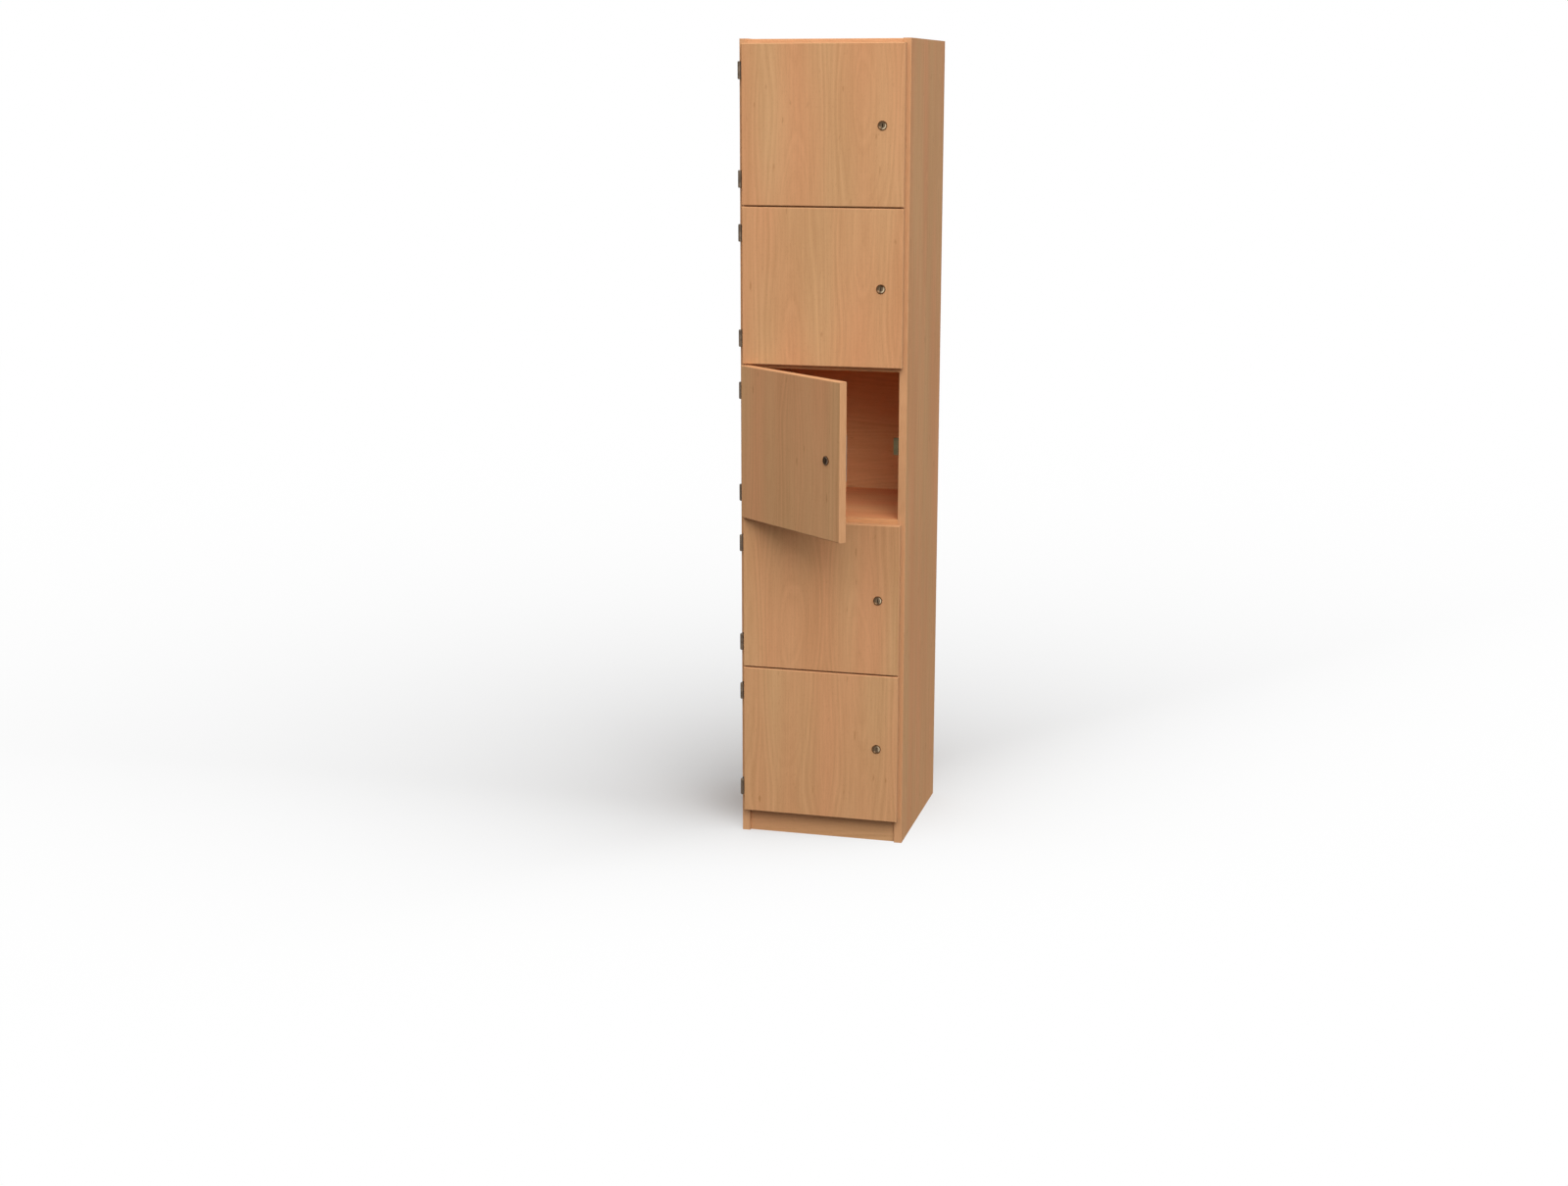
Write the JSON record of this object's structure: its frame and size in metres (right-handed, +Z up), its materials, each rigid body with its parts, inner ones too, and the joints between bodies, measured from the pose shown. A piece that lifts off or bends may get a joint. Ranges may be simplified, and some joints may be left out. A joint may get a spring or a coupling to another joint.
{
  "type": "coin operated locker",
  "caption": "Tall wood-panel locker column with overlay doors on knuckle hinges, each shut by a round key lock with a coin-return lock case behind it.",
  "frame": {"origin": "on the floor at the middle of the back panel's wall face", "axes": "+Z up, +Y out of the back towards the wall, +X to the right as seen from the front; the doors face -Y"},
  "size_m": [0.38, 0.6315, 1.8],
  "materials": {
    "beech_board": "beech-effect melamine board, satin",
    "dowel_wood": "plain beech dowel",
    "hinge_metal": "dark bronzed steel",
    "keeper_zinc": "zinc plated steel",
    "lock_head": "nickel plated die casting, dulled rim",
    "lock_plug": "nickel plated plug",
    "lock_casting": "grey enamelled die casting",
    "bolt_steel": "bright zinc plated steel",
    "screw_steel": "zinc plated screws"
  },
  "bodies": {
    "carcass": {"left_side": "beech_board", "right_side": "beech_board", "top_panel": "beech_board", "base_panel": "beech_board", "back_panel": "beech_board", "plinth": "beech_board", "shelf_1": "beech_board", "shelf_2": "beech_board", "shelf_3": "beech_board", "shelf_4": "beech_board", "dowels": "dowel_wood", "hinge_frame_leaves": "hinge_metal", "hinge_pins": "hinge_metal", "keepers": "keeper_zinc", "carcass_screws": "screw_steel"},
    "door_1": {"door_panel_1": "beech_board", "hinge_door_leaves_1": "hinge_metal", "lock_case_1": "lock_casting", "lock_cover_1": "lock_casting", "lock_barrel_1": "lock_head", "door_fasteners_1": "screw_steel"},
    "plug_1": {"lock_plug_1": "lock_plug"},
    "bolt_1": {"lock_bolt_1": "bolt_steel"},
    "lever_1": {"coin_lever_1": "bolt_steel"},
    "door_2": {"door_panel_2": "beech_board", "hinge_door_leaves_2": "hinge_metal", "lock_case_2": "lock_casting", "lock_cover_2": "lock_casting", "lock_barrel_2": "lock_head", "door_fasteners_2": "screw_steel"},
    "plug_2": {"lock_plug_2": "lock_plug"},
    "bolt_2": {"lock_bolt_2": "bolt_steel"},
    "lever_2": {"coin_lever_2": "bolt_steel"},
    "door_3": {"door_panel_3": "beech_board", "hinge_door_leaves_3": "hinge_metal", "lock_case_3": "lock_casting", "lock_cover_3": "lock_casting", "lock_barrel_3": "lock_head", "door_fasteners_3": "screw_steel"},
    "plug_3": {"lock_plug_3": "lock_plug"},
    "bolt_3": {"lock_bolt_3": "bolt_steel"},
    "lever_3": {"coin_lever_3": "bolt_steel"},
    "door_4": {"door_panel_4": "beech_board", "hinge_door_leaves_4": "hinge_metal", "lock_case_4": "lock_casting", "lock_cover_4": "lock_casting", "lock_barrel_4": "lock_head", "door_fasteners_4": "screw_steel"},
    "plug_4": {"lock_plug_4": "lock_plug"},
    "bolt_4": {"lock_bolt_4": "bolt_steel"},
    "lever_4": {"coin_lever_4": "bolt_steel"},
    "door_5": {"door_panel_5": "beech_board", "hinge_door_leaves_5": "hinge_metal", "lock_case_5": "lock_casting", "lock_cover_5": "lock_casting", "lock_barrel_5": "lock_head", "door_fasteners_5": "screw_steel"},
    "plug_5": {"lock_plug_5": "lock_plug"},
    "bolt_5": {"lock_bolt_5": "bolt_steel"},
    "lever_5": {"coin_lever_5": "bolt_steel"}
  },
  "joints": [
    {"name": "door_1_swing", "type": "hinge", "parent": "carcass", "child": "door_1", "pos_m": [-0.1845, -0.4, 1.6178], "axis": [0, 0, -1], "range_deg": [0, 180]},
    {"name": "lock_1_turn", "type": "hinge", "parent": "door_1", "child": "plug_1", "pos_m": [0.1336, -0.3845, 1.6178], "axis": [0, 1, 0], "range_deg": [0, 90]},
    {"name": "bolt_1_slide", "type": "slide", "parent": "door_1", "child": "bolt_1", "axis": [1, 0, 0], "range_m": [0, 0.0099]},
    {"name": "coin_lever_1_rock", "type": "hinge", "parent": "door_1", "child": "lever_1", "pos_m": [0.1196, -0.376, 1.6398], "axis": [0, -1, 0], "range_deg": [-11, 0]},
    {"name": "door_2_swing", "type": "hinge", "parent": "carcass", "child": "door_2", "pos_m": [-0.1845, -0.4, 1.2704], "axis": [0, 0, -1], "range_deg": [0, 180]},
    {"name": "lock_2_turn", "type": "hinge", "parent": "door_2", "child": "plug_2", "pos_m": [0.1336, -0.3845, 1.2704], "axis": [0, 1, 0], "range_deg": [0, 90]},
    {"name": "bolt_2_slide", "type": "slide", "parent": "door_2", "child": "bolt_2", "axis": [1, 0, 0], "range_m": [0, 0.0099]},
    {"name": "coin_lever_2_rock", "type": "hinge", "parent": "door_2", "child": "lever_2", "pos_m": [0.1196, -0.376, 1.2924], "axis": [0, -1, 0], "range_deg": [-11, 0]},
    {"name": "door_3_swing", "type": "hinge", "parent": "carcass", "child": "door_3", "pos_m": [-0.1845, -0.4, 0.923], "axis": [0, 0, -1], "range_deg": [-39, 141]},
    {"name": "lock_3_turn", "type": "hinge", "parent": "door_3", "child": "plug_3", "pos_m": [0.07246, -0.58814, 0.923], "axis": [0.6293, 0.7771, 0], "range_deg": [0, 90]},
    {"name": "bolt_3_slide", "type": "slide", "parent": "door_3", "child": "bolt_3", "axis": [0.7771, -0.6293, 0], "range_m": [0, 0.0099]},
    {"name": "coin_lever_3_rock", "type": "hinge", "parent": "door_3", "child": "lever_3", "pos_m": [0.06693, -0.57272, 0.945], "axis": [-0.6293, -0.7771, 0], "range_deg": [-11, 0]},
    {"name": "door_4_swing", "type": "hinge", "parent": "carcass", "child": "door_4", "pos_m": [-0.1845, -0.4, 0.5756], "axis": [0, 0, -1], "range_deg": [0, 180]},
    {"name": "lock_4_turn", "type": "hinge", "parent": "door_4", "child": "plug_4", "pos_m": [0.1336, -0.3845, 0.5756], "axis": [0, 1, 0], "range_deg": [0, 90]},
    {"name": "bolt_4_slide", "type": "slide", "parent": "door_4", "child": "bolt_4", "axis": [1, 0, 0], "range_m": [0, 0.0099]},
    {"name": "coin_lever_4_rock", "type": "hinge", "parent": "door_4", "child": "lever_4", "pos_m": [0.1196, -0.376, 0.5976], "axis": [0, -1, 0], "range_deg": [-11, 0]},
    {"name": "door_5_swing", "type": "hinge", "parent": "carcass", "child": "door_5", "pos_m": [-0.1845, -0.4, 0.2282], "axis": [0, 0, -1], "range_deg": [0, 180]},
    {"name": "lock_5_turn", "type": "hinge", "parent": "door_5", "child": "plug_5", "pos_m": [0.1336, -0.3845, 0.2282], "axis": [0, 1, 0], "range_deg": [0, 90]},
    {"name": "bolt_5_slide", "type": "slide", "parent": "door_5", "child": "bolt_5", "axis": [1, 0, 0], "range_m": [0, 0.0099]},
    {"name": "coin_lever_5_rock", "type": "hinge", "parent": "door_5", "child": "lever_5", "pos_m": [0.1196, -0.376, 0.2502], "axis": [0, -1, 0], "range_deg": [-11, 0]}
  ],
  "couplings": [
    {"joint": "lock_1_turn", "follows": "bolt_1_slide", "rad_per_m": 158.67},
    {"joint": "lock_2_turn", "follows": "bolt_2_slide", "rad_per_m": 158.67},
    {"joint": "lock_3_turn", "follows": "bolt_3_slide", "rad_per_m": 158.67},
    {"joint": "lock_4_turn", "follows": "bolt_4_slide", "rad_per_m": 158.67},
    {"joint": "lock_5_turn", "follows": "bolt_5_slide", "rad_per_m": 158.67}
  ]
}
